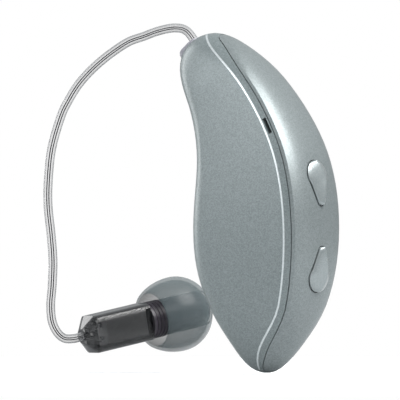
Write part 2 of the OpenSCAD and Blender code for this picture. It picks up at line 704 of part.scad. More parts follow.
module lead_socket() {
    color("darkslategray") at_cap() difference() {
        translate([0, 0, -socket_end]) cylinder(h = plug_l, r = socket_r);
        translate([0, 0, -socket_end + fit_gap - slide_gap])
            cylinder(h = plug_l + overrun, d = plug_d + 2 * slide_gap);
        at_contacts() leaf_slot(0);
    }
}
module socket_contacts() {
    color("gold") at_cap() intersection() {
        at_contacts() leaf_slot(-fit_gap);
        difference() {
            translate([0, 0, -socket_end]) cylinder(h = plug_l, r = socket_r);
            translate([0, 0, -socket_end - overrun])
                cylinder(h = plug_l + 2 * overrun, d = plug_d + 2 * slide_gap);
        }
    }
}
module plug_bore() {
    at_cap() translate([0, 0, -cap_t - plug_neck - overrun])
        cylinder(h = plug_neck + 2 * overrun, d = plug_d + 2 * slide_gap);
    at_cap() translate([0, 0, -cap_t - slide_gap])
        linear_extrude(cap_t + 2 * overrun) cap_outline(slide_gap);
}

// The receiver: a smoky housing with a tapered nose, and what it holds
nose_l = 1.2;
nose_d = 1.5;
box_round = 0.7;
housing_wall = 0.35;
can_short = 1.6;
can_gap = 0.1;
can_round = 0.3;
can_l = receiver_l - can_short;
can_h = receiver_h - 2 * housing_wall - 2 * can_gap;
can_w = receiver_w - 2 * housing_wall - 2 * can_gap;
module rounded_rect(w, h, r) {
    square([w - 2 * r, h], center = true);
    square([w, h - 2 * r], center = true);
    for (x = [-1, 1], y = [-1, 1]) translate([x * (w / 2 - r), y * (h / 2 - r)]) circle(r);
}
module receiver_housing() {
    inner_round = box_round - housing_wall / 2;
    color("dimgray") at_receiver() difference() {
        union() {
            hull() {
                cylinder(h = fit_gap, d = nose_d, $fn = DROP_SIDES);
                translate([0, 0, nose_l - fit_gap]) linear_extrude(fit_gap)
                    rounded_rect(receiver_w, receiver_h, box_round, $fn = DROP_SIDES);
            }
            translate([0, 0, nose_l]) linear_extrude(receiver_l)
                rounded_rect(receiver_w, receiver_h, box_round);
        }
        translate([0, 0, nose_l]) linear_extrude(receiver_l - housing_wall)
            rounded_rect(receiver_w - 2 * housing_wall, receiver_h - 2 * housing_wall, inner_round);
        translate([0, 0, -overrun]) cylinder(h = nose_l + 2 * overrun, d = tube_bore);
    }
}
module receiver_can() {
    color("gray") at_receiver() translate([0, 0, nose_l + receiver_l - housing_wall - can_l])
        linear_extrude(can_l) rounded_rect(can_w, can_h, can_round);
}
pad_d = 0.6;
pad_t = 0.3;
module receiver_pads() {
    color("silver") at_receiver() for (side = [-1, 1])
        translate([0, side * can_h / 4, nose_l + receiver_l - housing_wall - can_l - pad_t])
            cylinder(h = pad_t, d = pad_d);
}
collar_l = 2.1;
collar_d = 3.8;
collar_rib = 0.08;
RIBS = 5;
spout_short = 1.6;
spout_l = dome_l - spout_short;
spout_d = 3;
spout_bore = 1.2;
lead_in_l = 0.4;
spout_start = nose_l + receiver_l;
spout_tip = spout_start + collar_l + spout_l;
module receiver_spout() {
    rib_l = collar_l / (2 * RIBS);
    color("black") at_receiver() translate([0, 0, spout_start]) difference() {
        rotate_extrude() union() {
            square([collar_d / 2 - collar_rib, collar_l]);
            for (i = [0:RIBS - 1]) translate([0, 2 * i * rib_l]) square([collar_d / 2, rib_l]);
            translate([0, collar_l]) polygon([[0, 0], [spout_d / 2, 0], [spout_d / 2, spout_l - lead_in_l],
                [spout_d / 2 - lead_in_l, spout_l], [0, spout_l]]);
        }
        translate([0, 0, -overrun]) cylinder(h = collar_l + spout_l + 2 * overrun, d = spout_bore);
        translate([0, 0, collar_l + spout_l - filter_l])
            cylinder(h = filter_l + overrun, d = filter_d + 2 * fit_gap);
    }
}
filter_l = 1;
filter_d = 1.9;
filter_bore = 1;
FILTER_HOLES = 6;
module wax_filter() {
    color("white") at_receiver() translate([0, 0, spout_tip - filter_l]) difference() {
        cylinder(h = filter_l, d = filter_d);
        translate([0, 0, filter_l / 3]) cylinder(h = filter_l, d = filter_bore);
        for (i = [1:FILTER_HOLES]) rotate([0, 0, 360 * i / FILTER_HOLES])
            translate([filter_bore / 3, 0, -overrun]) cylinder(h = 2 * overrun, d = filter_bore / 5);
    }
}

// The dome: a sleeve that grips the spout, turned back at the tip into an open skirt
dome_wall = 0.35;
sleeve_wall = 0.3;
dome_tip = spout_tip + slide_gap + sleeve_wall + dome_wall / 2;
dome_front_share = 0.54;
rim_share = 0.78;
lip_turn = 70;
DOME_STEPS = 12;
function dome_arc(r, front, back, a) = [r * cos(a), a > 0 ? front * sin(a) : back * sin(a)];
module dome() {
    r = dome_d / 2;
    front = dome_l * dome_front_share;
    back = dome_l - front;
    rim_turn = -acos(rim_share);
    stretch = back / abs(sin(rim_turn));
    hole = filter_d / 2;
    top_turn = acos(hole / r);
    outer = [for (i = [0:DOME_STEPS])
        dome_arc(r, front, stretch, rim_turn + (top_turn - rim_turn) * i / DOME_STEPS)];
    inner = [for (i = [DOME_STEPS:-1:0])
        let (turn = rim_turn + (lip_turn - rim_turn) * i / DOME_STEPS)
        dome_arc(r - dome_wall, front - dome_wall, stretch, turn)];
    color("lightslategray") at_receiver() translate([0, 0, dome_tip - front]) difference() {
        rotate_extrude(convexity = 6) union() {
            polygon(concat(outer, [[hole, front - dome_wall]], inner));
            translate([spout_d / 2 + slide_gap, front - sleeve_wall - dome_wall / 2 - spout_l])
                square([sleeve_wall, spout_l + sleeve_wall]);
            translate([hole, front - sleeve_wall - dome_wall / 2])
                square([spout_d / 2 + slide_gap + sleeve_wall - hole, sleeve_wall]);
        }
    }
}

module main_shell() {
    color("lightslategray") difference() {
        case_form();
        cavity_form();
        cover_region(seam_gap);
        mic_slots();
        pin_bores();
        plug_bore();
    }
}
module spine_cover() {
    color("slategray") difference() {
        intersection() {
            spine_form();
            cover_region(0);
        }
        spine_cavity_form();
        button_well(upper_t, false);
        button_well(lower_t, true);
    }
}

main_shell();
spine_cover();
seam_gasket();
chassis();
circuit_board();
signal_processor();
radio_chip();
chip_parts();
battery_cell();
battery_tabs();
charge_contacts();
charge_strips();
front_microphone();
rear_microphone();
front_mic_boot();
rear_mic_boot();
mic_screens();
telecoil();
antenna();
upper_switch();
lower_switch();
upper_button();
lower_button();
upper_button_seal();
lower_button_seal();
lead_socket();
socket_contacts();
lead_plug();
plug_contacts();
plug_cap();
lead_tube();
lead_wires();
receiver_housing();
receiver_can();
receiver_pads();
receiver_spout();
wax_filter();
dome();
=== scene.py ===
from math import acos, cos, pi, radians, sin, sqrt

import bmesh
import bpy
from mathutils import Matrix, Vector


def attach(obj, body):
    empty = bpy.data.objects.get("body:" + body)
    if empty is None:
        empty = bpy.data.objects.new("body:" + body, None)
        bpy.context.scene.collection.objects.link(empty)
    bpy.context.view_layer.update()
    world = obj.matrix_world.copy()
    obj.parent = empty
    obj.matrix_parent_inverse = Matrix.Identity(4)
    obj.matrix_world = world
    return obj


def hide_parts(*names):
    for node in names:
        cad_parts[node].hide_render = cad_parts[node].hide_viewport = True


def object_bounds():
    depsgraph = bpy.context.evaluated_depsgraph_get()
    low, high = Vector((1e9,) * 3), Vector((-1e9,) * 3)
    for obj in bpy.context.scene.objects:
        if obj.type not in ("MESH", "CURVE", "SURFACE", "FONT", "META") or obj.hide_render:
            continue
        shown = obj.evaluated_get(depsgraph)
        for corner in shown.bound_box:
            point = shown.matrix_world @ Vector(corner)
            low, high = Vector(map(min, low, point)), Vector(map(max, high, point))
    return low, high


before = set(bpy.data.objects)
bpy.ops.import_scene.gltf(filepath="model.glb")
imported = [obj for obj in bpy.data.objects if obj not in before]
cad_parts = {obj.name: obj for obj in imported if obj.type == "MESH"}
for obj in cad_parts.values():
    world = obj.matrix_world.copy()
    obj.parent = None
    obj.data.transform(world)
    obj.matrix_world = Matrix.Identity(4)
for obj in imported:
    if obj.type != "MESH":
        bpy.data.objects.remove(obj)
cad_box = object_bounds()
scene = bpy.context.scene


# ---------------------------------------------------------------- camera, light and ground
# The aid stands upright before a camera at its own height, turned 38 degrees towards the spine.
# A long lens keeps its sides nearly parallel, as in a catalogue picture of a small thing.

# Its turn and distance, how much it sees across there, and the middle of the picture
VIEW_TURN = radians(38)
VIEW_RANGE, VIEW_ACROSS = 1.5, 0.04
AIM_SIDE, AIM_HEIGHT = -0.00095, -0.00497
FILM = 36
right_way = Vector((cos(VIEW_TURN), sin(VIEW_TURN), 0))
view_back = Vector((sin(VIEW_TURN), -cos(VIEW_TURN), 0))
aim = right_way * AIM_SIDE + Vector((0, 0, AIM_HEIGHT))
lens = bpy.data.cameras.new("camera")
lens.sensor_width = FILM
lens.lens = FILM * VIEW_RANGE / VIEW_ACROSS
lens.clip_start = 0.01
lens.clip_end = 10
camera = bpy.data.objects.new("camera", lens)
camera.location = aim + view_back * VIEW_RANGE
camera.rotation_euler = (pi / 2, 0, VIEW_TURN)
scene.collection.objects.link(camera)
scene.camera = camera

scene.view_settings.view_transform = "Standard"


def soft_box(name, place, size, power, colour):
    lamp = bpy.data.lights.new(name, "AREA")
    lamp.shape = "RECTANGLE"
    lamp.size, lamp.size_y = size
    lamp.energy = power
    lamp.color = colour
    box = bpy.data.objects.new(name, lamp)
    box.location = place
    box.rotation_euler = (aim - Vector(place)).to_track_quat("-Z", "Y").to_euler()
    scene.collection.objects.link(box)


soft_box("top_box", (0.17, 0.0, 0.19), (0.20, 0.17), 1.15, (1, 0.99, 0.98))
soft_box("front_box", (-0.16, -0.24, 0.08), (0.12, 0.12), 0.26, (0.98, 0.99, 1))
soft_box("edge_box", (-0.27, -0.03, 0.04), (0.12, 0.24), 0.42, (1, 1, 1))

world = bpy.data.worlds.new("studio")
scene.world = world
world.use_nodes = True
wn, wl = world.node_tree.nodes, world.node_tree.links
wn.clear()
seen, lit = wn.new("ShaderNodeBackground"), wn.new("ShaderNodeBackground")
seen.inputs["Color"].default_value = (1, 1, 1, 1)
lit.inputs["Color"].default_value = (0.95, 0.98, 1, 1)
# The room's own light is pale overhead and dim towards the floor
ROOM_FROM, ROOM_TO, ROOM_DIM, ROOM_PALE = -0.5, 0.8, 0.14, 0.78
toward = wn.new("ShaderNodeTexCoord")
parts = wn.new("ShaderNodeSeparateXYZ")
height = wn.new("ShaderNodeMapRange")
height.interpolation_type = "SMOOTHSTEP"
height.inputs["From Min"].default_value = ROOM_FROM
height.inputs["From Max"].default_value = ROOM_TO
height.inputs["To Min"].default_value = ROOM_DIM
height.inputs["To Max"].default_value = ROOM_PALE
wl.new(toward.outputs["Generated"], parts.inputs["Vector"])
wl.new(parts.outputs["Z"], height.inputs["Value"])
wl.new(height.outputs["Result"], lit.inputs["Strength"])
path = wn.new("ShaderNodeLightPath")
pick = wn.new("ShaderNodeMixShader")
wl.new(path.outputs["Is Camera Ray"], pick.inputs[0])
wl.new(lit.outputs[0], pick.inputs[1])
wl.new(seen.outputs[0], pick.inputs[2])
wl.new(pick.outputs[0], wn.new("ShaderNodeOutputWorld").inputs["Surface"])

# A round white table under it, whose own colour runs up to the white behind
FLOOR_GAP, FLOOR_R, FLOOR_GLOW = 0.0002, 0.16, 0.42
FLOOR_Z = cad_box[0][2] - FLOOR_GAP
ground = bmesh.new()
bmesh.ops.create_circle(ground, cap_ends=True, segments=96, radius=FLOOR_R)
bmesh.ops.translate(ground, verts=ground.verts, vec=(0, 0, FLOOR_Z))
floor_mesh = bpy.data.meshes.new("floor")
ground.to_mesh(floor_mesh)
ground.free()
floor = bpy.data.objects.new("floor", floor_mesh)
scene.collection.objects.link(floor)
paper = bpy.data.materials.new("white_table")
paper.use_nodes = True
pn, pl = paper.node_tree.nodes, paper.node_tree.links
pn.clear()
card = pn.new("ShaderNodeBsdfDiffuse")
card.inputs["Color"].default_value = (0.60, 0.61, 0.62, 1)
glow = pn.new("ShaderNodeEmission")
glow.inputs["Color"].default_value = (1, 1, 1, 1)
glow_path = pn.new("ShaderNodeLightPath")
glow_level = pn.new("ShaderNodeMath")
glow_level.operation = "MULTIPLY"
glow_level.inputs[1].default_value = FLOOR_GLOW
both = pn.new("ShaderNodeAddShader")
pl.new(glow_path.outputs["Is Camera Ray"], glow_level.inputs[0])
pl.new(glow_level.outputs[0], glow.inputs["Strength"])
pl.new(card.outputs[0], both.inputs[0])
pl.new(glow.outputs[0], both.inputs[1])
pl.new(both.outputs[0], pn.new("ShaderNodeOutputMaterial").inputs["Surface"])
floor.data.materials.append(paper)


# ---------------------------------------------------------------- lead tube and its wires
# A thin clear tube, drawn from soft plastic and set by heat to the shape of the ear, so it keeps
# its bends when it is taken off. Two enamelled wires lie in its bore, side by side.

# Its route from the exit in the case, in millimetres
LEAD_EXIT = Vector((-0.0018455, 0, 0.0108801))
ROUTE = [
    (0, 0, 0), (-0.5, 0, 0.6), (-1.1, 0, 1.1), (-1.9, 0, 1.35), (-3, -0.2, 1.35),
    (-4.5, -0.4, 1.05), (-6.1, -0.6, 0.55), (-7.8, -0.9, 0), (-9.9, -1.2, -1.2),
    (-11.8, -1.5, -2.6), (-13.5, -1.7, -4.2), (-14.7, -1.9, -5.9), (-15.5, -2.1, -7.5),
    (-16.4, -2.4, -10.6), (-16.6, -2.7, -13.6), (-16.5, -2.9, -16.3), (-16, -3, -19.5),
    (-15.7, -3.1, -22), (-15.8, -3.1, -24.4), (-16, -3.1, -26.4),
    (-15.9, -3, -28), (-15.6, -2.6, -29.1), (-15.3, -1.8, -29.75), (-14.9, -0.8, -29.8),
    (-14.6, 0.2, -29.6),
]
TUBE_D, WIRE_D, WIRE_ASIDE = 0.0009, 0.00013, 0.00011
STEPS = 16
places = [LEAD_EXIT + Vector(p) / 1000 for p in ROUTE]
last = len(places) - 1
lead_line = []
for i in range(last):
    a, b, c, d = places[max(i - 1, 0)], places[i], places[i + 1], places[min(i + 2, last)]
    for k in range(STEPS):
        u = k / STEPS
        cubic = 3 * (b - c) + d - a
        lead_line.append(b + 0.5 * u * (c - a + u * (2 * a - 5 * b + 4 * c - d + u * cubic)))
lead_line.append(places[last])


def drawn_along(name, points, thickness, sides):
    curve = bpy.data.curves.new(name, "CURVE")
    curve.dimensions = "3D"
    curve.bevel_depth = thickness / 2
    curve.bevel_resolution = sides
    curve.use_fill_caps = True
    run = curve.splines.new("POLY")
    run.points.add(len(points) - 1)
    for spot, p in zip(run.points, points):
        spot.co = (*p, 1)
    run.use_smooth = True
    piece = bpy.data.objects.new(name, curve)
    scene.collection.objects.link(piece)
    return piece


def grained(name, dark, light, scale, rough, bump=0.0, metal=0.0, stretch=(1, 1, 1), kind="NOISE"):
    """Two close tones of one finish, mixed by a grain that also roughens and raises the skin."""
    mat = bpy.data.materials.new(name)
    mat.use_nodes = True
    nodes, links = mat.node_tree.nodes, mat.node_tree.links
    shader = nodes["Principled BSDF"]
    shader.inputs["Metallic"].default_value = metal
    spot = nodes.new("ShaderNodeTexCoord")
    turn = nodes.new("ShaderNodeMapping")
    turn.inputs["Scale"].default_value = stretch
    links.new(spot.outputs["Object"], turn.inputs["Vector"])
    if kind == "CELLS":
        grain = nodes.new("ShaderNodeTexVoronoi")
        level = grain.outputs["Distance"]
    elif kind == "BANDS":
        grain = nodes.new("ShaderNodeTexWave")
        grain.inputs["Distortion"].default_value = 0.3
        level = grain.outputs["Fac"]
    else:
        grain = nodes.new("ShaderNodeTexNoise")
        grain.inputs["Detail"].default_value = 3
        level = grain.outputs["Fac"]
    grain.inputs["Scale"].default_value = scale
    links.new(turn.outputs["Vector"], grain.inputs["Vector"])
    tone = nodes.new("ShaderNodeValToRGB")
    tone.color_ramp.elements[0].position = 0.3
    tone.color_ramp.elements[0].color = (*dark, 1)
    tone.color_ramp.elements[1].position = 0.7
    tone.color_ramp.elements[1].color = (*light, 1)
    links.new(level, tone.inputs["Fac"])
    links.new(tone.outputs["Color"], shader.inputs["Base Color"])
    skin = nodes.new("ShaderNodeMapRange")
    skin.inputs["To Min"].default_value = rough[0]
    skin.inputs["To Max"].default_value = rough[1]
    links.new(level, skin.inputs["Value"])
    links.new(skin.outputs["Result"], shader.inputs["Roughness"])
    if bump:
        relief = nodes.new("ShaderNodeBump")
        relief.inputs["Strength"].default_value = bump
        relief.inputs["Distance"].default_value = 0.00003
        links.new(level, relief.inputs["Height"])
        links.new(relief.outputs["Normal"], shader.inputs["Normal"])
    return mat


def thin_skin(mat, facing, grazing, span):
    """Lets light through the skin of a piece, and less of it where the skin is seen edge on."""
    nodes, links = mat.node_tree.nodes, mat.node_tree.links
    tilt = nodes.new("ShaderNodeLayerWeight")
    tilt.inputs["Blend"].default_value = 0.5
    cover_up = nodes.new("ShaderNodeMapRange")
    cover_up.inputs["From Min"].default_value = span[0]
    cover_up.inputs["From Max"].default_value = span[1]
    cover_up.inputs["To Min"].default_value = facing
    cover_up.inputs["To Max"].default_value = grazing
    links.new(tilt.outputs["Facing"], cover_up.inputs["Value"])
    links.new(cover_up.outputs["Result"], nodes["Principled BSDF"].inputs["Alpha"])


# Its wall looks greyer where it is seen edge on, as a thick clear wall does
clear = grained("clear_tube", (0.20, 0.205, 0.21), (0.27, 0.275, 0.28), 900, (0.22, 0.32))
thin_skin(clear, facing=0.10, grazing=0.80, span=(0.12, 0.62))
lead_tube = drawn_along("formed_tube", lead_line, TUBE_D, 8)
lead_tube.data.materials.append(clear)
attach(lead_tube, "lead")
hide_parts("lead_tube")

enamel = grained("enamelled_wire", (0.035, 0.035, 0.04), (0.085, 0.085, 0.09), 700, (0.25, 0.4),
                 metal=0.5)
towards_viewer = Vector((0.6, -0.6, 0.5))
for side in (-1, 1):
    beside = []
    for i, p in enumerate(lead_line):
        ahead = lead_line[min(i + 1, len(lead_line) - 1)]
        along = (ahead - lead_line[max(i - 1, 0)]).normalized()
        across = along.cross(towards_viewer).normalized()
        beside.append(p + across * side * WIRE_ASIDE)
    strand = drawn_along("strand_" + ("near" if side < 0 else "far"), beside, WIRE_D, 3)
    strand.data.materials.append(enamel)
    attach(strand, "lead")
    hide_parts("lead_wires")


# ---------------------------------------------------------------- shell of the case
# Moulded in one piece round the front, the sides and the bevel beside the parting line, then
# sprayed with a grey-green lacquer that holds fine metal flake, under a satin clear coat.
WELD, FLAKE_GRAIN, MOTTLE_GRAIN = 2e-6, 11000, 7000


def smooth_copy(name, node, body, sharp):
    """A welded copy of a CAD node, shaded smooth up to an angle of sharp degrees."""
    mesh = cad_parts[node].data.copy()
    mesh.name = name
    work = bmesh.new()
    work.from_mesh(mesh)
    bmesh.ops.remove_doubles(work, verts=work.verts, dist=WELD)
    for face in work.faces:
        face.smooth = True
        face.material_index = 0
    for edge in work.edges:
        edge.smooth = len(edge.link_faces) == 2 and edge.calc_face_angle(pi) < radians(sharp)
    work.to_mesh(mesh)
    work.free()
    if "custom_normal" in mesh.attributes:
        mesh.attributes.remove(mesh.attributes["custom_normal"])
    mesh.materials.clear()
    piece = bpy.data.objects.new(name, mesh)
    scene.collection.objects.link(piece)
    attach(piece, body)
    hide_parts(node)
    return piece


def flake_lacquer(name, dark, light, metal, rough):
    """Lacquer with fine flake: cells of slightly different grey, each turned a little."""
    mat = bpy.data.materials.new(name)
    mat.use_nodes = True
    nodes, links = mat.node_tree.nodes, mat.node_tree.links
    shader = nodes["Principled BSDF"]
    spot = nodes.new("ShaderNodeTexCoord")
    flakes = nodes.new("ShaderNodeTexVoronoi")
    flakes.inputs["Scale"].default_value = FLAKE_GRAIN
    mottle = nodes.new("ShaderNodeTexNoise")
    mottle.inputs["Scale"].default_value = MOTTLE_GRAIN
    mottle.inputs["Detail"].default_value = 3
    blend = nodes.new("ShaderNodeMix")
    blend.inputs["Factor"].default_value = 0.5
    grey = nodes.new("ShaderNodeValToRGB")
    grey.color_ramp.elements[0].position = 0.25
    grey.color_ramp.elements[0].color = (*dark, 1)
    grey.color_ramp.elements[1].position = 0.75
    grey.color_ramp.elements[1].color = (*light, 1)
    level = nodes.new("ShaderNodeSeparateColor")
    relief = nodes.new("ShaderNodeBump")
    relief.inputs["Strength"].default_value = 0.10
    relief.inputs["Distance"].default_value = 0.00002
    links.new(spot.outputs["Object"], flakes.inputs["Vector"])
    links.new(spot.outputs["Object"], mottle.inputs["Vector"])
    links.new(flakes.outputs["Color"], level.inputs["Color"])
    links.new(level.outputs["Red"], blend.inputs["A"])
    links.new(mottle.outputs["Fac"], blend.inputs["B"])
    links.new(blend.outputs["Result"], grey.inputs["Fac"])
    links.new(grey.outputs["Color"], shader.inputs["Base Color"])
    links.new(blend.outputs["Result"], relief.inputs["Height"])
    links.new(relief.outputs["Normal"], shader.inputs["Normal"])
    shader.inputs["Metallic"].default_value = metal
    shader.inputs["Roughness"].default_value = rough
    shader.inputs["Coat Weight"].default_value = 0.25
    shader.inputs["Coat Roughness"].default_value = 0.38
    return mat


case_lacquer = flake_lacquer("case_lacquer", (0.124, 0.151, 0.155), (0.193, 0.224, 0.228), 0.3,
                             0.42)
shell = smooth_copy("case_shell", "main_shell", "case", sharp=28)
shell.data.materials.append(case_lacquer)

# The crease between each side and its bevel is rounded with faces of its own and given a paler,
# more metallic lacquer than the side: a painted highlight along the edge. It is walked along from
# its middle, where the side faces of the case are flattest.
crease_highlight = grained("painted_highlight_crease", (0.46, 0.50, 0.51), (0.58, 0.62, 0.63), 5200, (0.3, 0.4),
                   bump=0.05, metal=0.6)
shell.data.materials.append(crease_highlight)
CREASE_X, CREASE_Y, CREASE_Z = 0.01186, 0.00401, -0.00293
CREASE_WIDTH, CREASE_MOST, STRAIGHT_ON = 0.0001, 200, 0.93
FLAT, LEAST_BEND, MOST_BEND = radians(0.4), radians(3), radians(40)


def straightness(edge, corner, way):
    """How straight an edge leads on from a corner: 1 when it keeps to the way."""
    return (edge.other_vert(corner).co - corner.co).normalized().dot(way)


edged = bmesh.new()
edged.from_mesh(shell.data)
bmesh.ops.dissolve_limit(edged, angle_limit=FLAT, verts=edged.verts, edges=edged.edges)
crease = set()
for side in (-1, 1):
    seed = Vector((CREASE_X, side * CREASE_Y, CREASE_Z))
    first = min(edged.edges,
                key=lambda e: ((e.verts[0].co + e.verts[1].co) / 2 - seed).length)
    for end in (0, 1):
        walker, here = first, first.verts[end]
        crease.add(walker)
        while True:
            way = (here.co - walker.other_vert(here).co).normalized()
            onward = [e for e in here.link_edges if e not in crease and len(e.link_faces) == 2
                      and LEAST_BEND < e.calc_face_angle(0) < MOST_BEND
                      and straightness(e, here, way) > STRAIGHT_ON]
            if not onward or len(crease) > CREASE_MOST:
                break
            walker = max(onward, key=lambda e: straightness(e, here, way))
            crease.add(walker)
            here = walker.other_vert(here)
bmesh.ops.bevel(edged, geom=list(crease), offset=CREASE_WIDTH, offset_type="OFFSET", segments=3,
                profile=0.5, affect="EDGES", material=1, clamp_overlap=True)
for face in edged.faces:
    face.smooth = True
edged.to_mesh(shell.data)
edged.free()


# ---------------------------------------------------------------- spine cover and its gasket
# The back of the case, moulded and lacquered apart and pressed on over a black gasket. Its
# lacquer is a shade paler and holds more metal. The holes of the two buttons are in it.


def dressed(node, mat):
    """Gives a CAD node that is shown as it is a material of this script."""
    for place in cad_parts[node].material_slots:
        place.material = mat


cover_lacquer = flake_lacquer("cover_lacquer", (0.152, 0.178, 0.182), (0.218, 0.246, 0.25), 0.5,
                              0.42)
cover = smooth_copy("back_cover", "spine_cover", "case", sharp=28)
cover.data.materials.append(cover_lacquer)
black_rubber = grained("black_rubber", (0.010, 0.011, 0.012), (0.022, 0.023, 0.025), 5200,
                       (0.5, 0.7), bump=0.3)
dressed("seam_gasket", black_rubber)


# ---------------------------------------------------------------- buttons
# Two drops of the cover's own plastic, mirrored, each crowned with a ridge that bows to one side.
# They are lacquered more brightly than the cover. A grey silicone seal under each keeps sweat out.
button_lacquer = flake_lacquer("button_lacquer", (0.22, 0.25, 0.255), (0.27, 0.30, 0.305), 0.55,
                               0.28)
grey_silicone = grained("grey_silicone", (0.05, 0.055, 0.06), (0.075, 0.08, 0.085), 2600,
                        (0.45, 0.6), bump=0.2)
DROP_L, DROP_W, DROP_TIP, DROP_RISE = 0.00459, 0.003, 0.00055, 0.00062
ROWS, ACROSS = 26, 14
# How deep the CAD button is cut off, the narrowest row, and what is welded or left sharp
CUT_IN, ROW_LEAST, DROP_WELD, DROP_SHARP = 0.00012, 0.00002, 4e-6, radians(26)
# The ridge's bow, its height at the drop's ends, the height of the rim, and how flat the sides are
RIDGE_BOW, BOW_FADE, END_RISE, RISE_FADE, NEAR_END = 0.42, 0.8, 0.35, 0.55, 0.999
RIM_RISE, FLATNESS = 0.05, 0.75
# Each drop's middle, the way out of the case there, and which of its ends is up
DROPS = [("upper", (0.0137718, 0, -0.00325827), (0.979875, 0, 0.199611), 1),
         ("lower", (0.013965, 0, -0.0118867), (0.98882, 0, -0.149114), -1)]


def drop_half_width(y):
    """Half a drop's width at a height along it: a round end, a narrow end and straight sides."""
    r, tip = DROP_W / 2, DROP_TIP
    top, low = DROP_L / 2 - r, tip - DROP_L / 2
    lean = (r - tip) / (top - low)
    if y > top - r * lean:
        return sqrt(max(r * r - (y - top) ** 2, 0))
    if y < low - tip * lean:
        return sqrt(max(tip * tip - (y - low) ** 2, 0))
    return (tip + (y - low + tip * lean) * lean) * sqrt(1 - lean * lean)


for which, seat, way_out, flip in DROPS:
    place, out = Vector(seat), Vector(way_out)
    up = Vector((-out.z, 0, out.x)) * flip
    drop = smooth_copy(which + "_drop", which + "_button", which + "_button", sharp=28)
    drop.data.materials.append(button_lacquer)
    crown = bmesh.new()
    crown.from_mesh(drop.data)
    cut = place - out * CUT_IN
    bmesh.ops.bisect_plane(crown, geom=crown.verts[:] + crown.edges[:] + crown.faces[:],
                           plane_co=cut, plane_no=out, clear_outer=True)
    rows = []
    rim_rise = DROP_RISE * RIM_RISE
    for i in range(ROWS + 1):
        y = DROP_L / 2 * cos(pi * (ROWS - i) / ROWS)
        half = max(drop_half_width(y), ROW_LEAST)
        share = (y + DROP_L / 2) / DROP_L
        ridge = half * RIDGE_BOW * sin(pi * share) ** BOW_FADE
        swell = sin(pi * min(share, NEAR_END)) ** RISE_FADE
        high = DROP_RISE * (END_RISE + (1 - END_RISE) * swell)
        row = []
        for j in range(ACROSS + 1):
            z = half * (2 * j / ACROSS - 1)
            near = (z + half) / (ridge + half) if z < ridge else (half - z) / (half - ridge)
            bulge = FLATNESS * near + (1 - FLATNESS) * sqrt(max(1 - (1 - near) ** 2, 0))
            rise = rim_rise + (high - rim_rise) * bulge
            row.append(crown.verts.new(place + up * y + Vector((0, 1, 0)) * z + out * rise))
        rows.append([crown.edges.new((a, b)) for a, b in zip(row, row[1:])])
    crown_faces = []
    for one, next_one in zip(rows, rows[1:]):
        crown_faces += bmesh.ops.bridge_loops(crown, edges=one + next_one)["faces"]
    crown_edges = dict.fromkeys(e for f in crown_faces for e in f.edges)
    open_edges = [e for e in crown_edges if len(e.link_faces) == 1]
    wall = bmesh.ops.extrude_edge_only(crown, edges=open_edges)["geom"]
    for v in [v for v in wall if isinstance(v, bmesh.types.BMVert)]:
        v.co -= out * ((v.co - cut).dot(out))
    bmesh.ops.remove_doubles(crown, verts=crown.verts, dist=DROP_WELD)
    bmesh.ops.recalc_face_normals(crown, faces=crown.faces)
    for face in crown.faces:
        face.smooth = True
    for edge in crown.edges:
        edge.smooth = len(edge.link_faces) == 2 and edge.calc_face_angle(pi) < DROP_SHARP
    crown.to_mesh(drop.data)
    crown.free()
    dressed(which + "_button_seal", grey_silicone)


# ---------------------------------------------------------------- frame and board
# A black nylon frame with glass fibre in it slides into the shell and carries everything. On it
# lies the board, green with tinned tracks, and the moulded chips and small parts soldered to it.
black_nylon = grained("black_nylon", (0.018, 0.019, 0.02), (0.035, 0.036, 0.038), 3400,
                      (0.42, 0.6), bump=0.25, stretch=(1, 1, 0.25))
dressed("chassis", black_nylon)
solder_mask = grained("solder_mask", (0.008, 0.06, 0.028), (0.03, 0.15, 0.07), 1500, (0.2, 0.42),
                      bump=0.3, stretch=(1, 1, 0.35), kind="BANDS")
solder_mask.node_tree.nodes["Principled BSDF"].inputs["Coat Weight"].default_value = 0.4
dressed("circuit_board", solder_mask)
chip_epoxy = grained("chip_epoxy", (0.012, 0.012, 0.014), (0.03, 0.03, 0.033), 9000, (0.5, 0.72),
                     bump=0.35)
dressed("signal_processor", chip_epoxy)
dressed("radio_chip", chip_epoxy)
ceramic = grained("chip_ceramic", (0.14, 0.085, 0.045), (0.30, 0.22, 0.14), 2200, (0.35, 0.55),
                  bump=0.2)
dressed("chip_parts", ceramic)


# ---------------------------------------------------------------- battery and its contacts
# A round lithium cell in a nickelled steel can, with spot-welded nickel tabs. Strips of copper on
# amber film lead to it from two gold-faced charging contacts let into the front of the case.
nickel = grained("nickelled_steel", (0.42, 0.42, 0.41), (0.60, 0.60, 0.58), 2600, (0.18, 0.36),
                 bump=0.08, metal=1, stretch=(1, 1, 0.08))
dressed("battery_cell", nickel)
weld_nickel = grained("tab_nickel", (0.36, 0.35, 0.33), (0.55, 0.54, 0.51), 1400, (0.3, 0.5),
                      bump=0.15, metal=1, stretch=(0.1, 1, 1))
dressed("battery_tabs", weld_nickel)
gold = grained("gold_face", (0.55, 0.35, 0.10), (0.75, 0.52, 0.20), 3000, (0.15, 0.32), bump=0.08,
               metal=1)
dressed("charge_contacts", gold)
amber_film = grained("amber_film", (0.22, 0.09, 0.02), (0.46, 0.20, 0.06), 1800, (0.22, 0.4),
                     bump=0.1, metal=0.4, stretch=(1, 0.1, 1), kind="BANDS")
dressed("charge_strips", amber_film)


